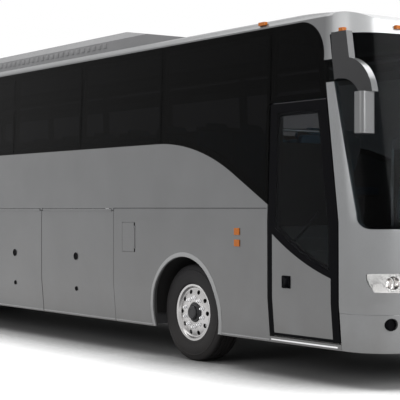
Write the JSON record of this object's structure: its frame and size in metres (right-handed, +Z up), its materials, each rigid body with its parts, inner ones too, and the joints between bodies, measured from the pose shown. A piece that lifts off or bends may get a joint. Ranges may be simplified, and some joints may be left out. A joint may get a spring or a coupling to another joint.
{
  "type": "three-axle touring coach",
  "caption": "Single-deck touring coach with a swept belt line, plug entrance door, through luggage bays, twin drive wheels, tag axle and roof unit.",
  "frame": {"origin": "on the ground under the middle of the body's bounding box", "axes": "+X forward, +Y to the vehicle's left, +Z up"},
  "size_m": [13.7398, 2.79, 3.738],
  "materials": {
    "side_paint": "gloss",
    "front_paint": "gloss",
    "black_trim": "gloss",
    "tinted_glass": "gloss",
    "windscreen_glass": "gloss",
    "lamp_clear": "gloss",
    "lamp_amber": "gloss",
    "lamp_red": "gloss",
    "wheel_aluminium": "polished",
    "tyre": "matte",
    "chassis": "satin",
    "floor_covering": "matte",
    "seat_fabric": "matte",
    "cabin_plastic": "matte",
    "bay_lining": "satin"
  },
  "bodies": {
    "coach_body": {"right_side": "side_paint", "left_side": "side_paint", "roof": "side_paint", "front_panel": "front_paint", "front_bumper": "front_paint", "windscreen": "windscreen_glass", "side_windows": "tinted_glass", "window_frame": "black_trim", "rear_panel": "side_paint", "rear_window": "tinted_glass", "tail_lamps": "lamp_red", "air_conditioner": "side_paint", "cabin_floor": "floor_covering", "stairwell": "floor_covering", "luggage_bays": "bay_lining", "wheel_housings": "chassis", "front_axle": "chassis", "drive_axle": "chassis", "tag_axle": "chassis", "engine": "chassis", "head_lamps": "lamp_clear", "lamp_housings": "cabin_plastic", "marker_lamps": "lamp_amber", "mirrors": "side_paint", "wipers": "black_trim", "dashboard": "cabin_plastic", "seats": "seat_fabric", "luggage_racks": "cabin_plastic"},
    "left_knuckle": {"knuckle_left": "chassis"},
    "right_knuckle": {"knuckle_right": "chassis"},
    "tie_rod_body": {"tie_rod": "chassis"},
    "front_wheel_left": {"front_rim_left": "wheel_aluminium", "front_tyre_left": "tyre"},
    "front_wheel_right": {"front_rim_right": "wheel_aluminium", "front_tyre_right": "tyre"},
    "drive_wheels_left": {"drive_rim_left": "wheel_aluminium", "drive_tyres_left": "tyre"},
    "drive_wheels_right": {"drive_rim_right": "wheel_aluminium", "drive_tyres_right": "tyre"},
    "tag_wheel_left": {"tag_rim_left": "wheel_aluminium", "tag_tyre_left": "tyre"},
    "tag_wheel_right": {"tag_rim_right": "wheel_aluminium", "tag_tyre_right": "tyre"},
    "entrance_arms": {"door_arms": "chassis"},
    "entrance_door": {"door_leaf": "black_trim", "door_panel": "side_paint", "door_glass": "tinted_glass"},
    "filler_flap_body": {"filler_flap": "side_paint"},
    "engine_lid_body": {"engine_lid": "side_paint"},
    "front_hatch_body": {"front_hatch": "side_paint"},
    "rear_hatch_body": {"rear_hatch": "side_paint"},
    "front_bay_door_right": {"bay_door_right_front": "side_paint"},
    "middle_bay_door_right": {"bay_door_right_middle": "side_paint"},
    "rear_bay_door_right": {"bay_door_right_rear": "side_paint"},
    "front_bay_door_left": {"bay_door_left_front": "side_paint"},
    "middle_bay_door_left": {"bay_door_left_middle": "side_paint"},
    "rear_bay_door_left": {"bay_door_left_rear": "side_paint"}
  },
  "joints": [
    {"name": "steer_left", "type": "hinge", "parent": "coach_body", "child": "left_knuckle", "pos_m": [3.87, 0.86, 0.515], "axis": [0, 0, 1], "range_deg": [-45, 45]},
    {"name": "steer_right", "type": "hinge", "parent": "coach_body", "child": "right_knuckle", "pos_m": [3.87, -0.86, 0.515], "axis": [0, 0, 1], "range_deg": [-45, 45]},
    {"name": "tie_rod_end", "type": "hinge", "parent": "left_knuckle", "child": "tie_rod_body", "pos_m": [3.68, 0.86, 0.418], "axis": [0, 0, 1], "range_deg": [-45, 45]},
    {"name": "front_wheel_left_spin", "type": "hinge", "parent": "left_knuckle", "child": "front_wheel_left", "pos_m": [3.87, 1.04, 0.515], "axis": [0, 1, 0], "continuous": true},
    {"name": "front_wheel_right_spin", "type": "hinge", "parent": "right_knuckle", "child": "front_wheel_right", "pos_m": [3.87, -1.04, 0.515], "axis": [0, 1, 0], "continuous": true},
    {"name": "drive_wheels_left_spin", "type": "hinge", "parent": "coach_body", "child": "drive_wheels_left", "pos_m": [-3.58, 0.92, 0.515], "axis": [0, 1, 0], "continuous": true},
    {"name": "drive_wheels_right_spin", "type": "hinge", "parent": "coach_body", "child": "drive_wheels_right", "pos_m": [-3.58, -0.92, 0.515], "axis": [0, 1, 0], "continuous": true},
    {"name": "tag_wheel_left_spin", "type": "hinge", "parent": "coach_body", "child": "tag_wheel_left", "pos_m": [-4.98, 1.04, 0.515], "axis": [0, 1, 0], "continuous": true},
    {"name": "tag_wheel_right_spin", "type": "hinge", "parent": "coach_body", "child": "tag_wheel_right", "pos_m": [-4.98, -1.04, 0.515], "axis": [0, 1, 0], "continuous": true},
    {"name": "door_arm_swing", "type": "hinge", "parent": "coach_body", "child": "entrance_arms", "pos_m": [6.2, -1.165, 0.75], "axis": [0, 0, 1], "range_deg": [0, 130]},
    {"name": "door_leaf_turn", "type": "hinge", "parent": "entrance_arms", "child": "entrance_door", "pos_m": [5.7, -1.212, 0.75], "axis": [0, 0, 1], "range_deg": [-130, 0]},
    {"name": "front_bay_right_hinge", "type": "hinge", "parent": "coach_body", "child": "front_bay_door_right", "pos_m": [1.638, -1.297, 1.612], "axis": [-1, 0, 0], "range_deg": [0, 110]},
    {"name": "middle_bay_right_hinge", "type": "hinge", "parent": "coach_body", "child": "middle_bay_door_right", "pos_m": [0.08, -1.297, 1.612], "axis": [-1, 0, 0], "range_deg": [0, 110]},
    {"name": "rear_bay_right_hinge", "type": "hinge", "parent": "coach_body", "child": "rear_bay_door_right", "pos_m": [-1.34, -1.297, 1.612], "axis": [-1, 0, 0], "range_deg": [0, 110]},
    {"name": "front_bay_left_hinge", "type": "hinge", "parent": "coach_body", "child": "front_bay_door_left", "pos_m": [1.638, 1.297, 1.612], "axis": [1, 0, 0], "range_deg": [0, 110]},
    {"name": "middle_bay_left_hinge", "type": "hinge", "parent": "coach_body", "child": "middle_bay_door_left", "pos_m": [0.08, 1.297, 1.612], "axis": [1, 0, 0], "range_deg": [0, 110]},
    {"name": "rear_bay_left_hinge", "type": "hinge", "parent": "coach_body", "child": "rear_bay_door_left", "pos_m": [-1.34, 1.297, 1.612], "axis": [1, 0, 0], "range_deg": [0, 110]},
    {"name": "filler_flap_hinge", "type": "hinge", "parent": "coach_body", "child": "filler_flap_body", "pos_m": [2.924, -1.299, 1.303], "axis": [0, 0, 1], "range_deg": [0, 110]},
    {"name": "engine_lid_hinge", "type": "hinge", "parent": "coach_body", "child": "engine_lid_body", "pos_m": [-6.84, 0, 1.877], "axis": [0, 1, 0], "range_deg": [0, 75]},
    {"name": "front_hatch_hinge", "type": "hinge", "parent": "coach_body", "child": "front_hatch_body", "pos_m": [4.673, 0, 3.559], "axis": [0, 1, 0], "range_deg": [0, 80]},
    {"name": "rear_hatch_hinge", "type": "hinge", "parent": "coach_body", "child": "rear_hatch_body", "pos_m": [-4.327, 0, 3.559], "axis": [0, 1, 0], "range_deg": [0, 80]}
  ],
  "couplings": [
    {"joint": "steer_right", "follows": "steer_left", "ratio": 1},
    {"joint": "tie_rod_end", "follows": "steer_left", "ratio": -1},
    {"joint": "door_leaf_turn", "follows": "door_arm_swing", "ratio": -1}
  ]
}
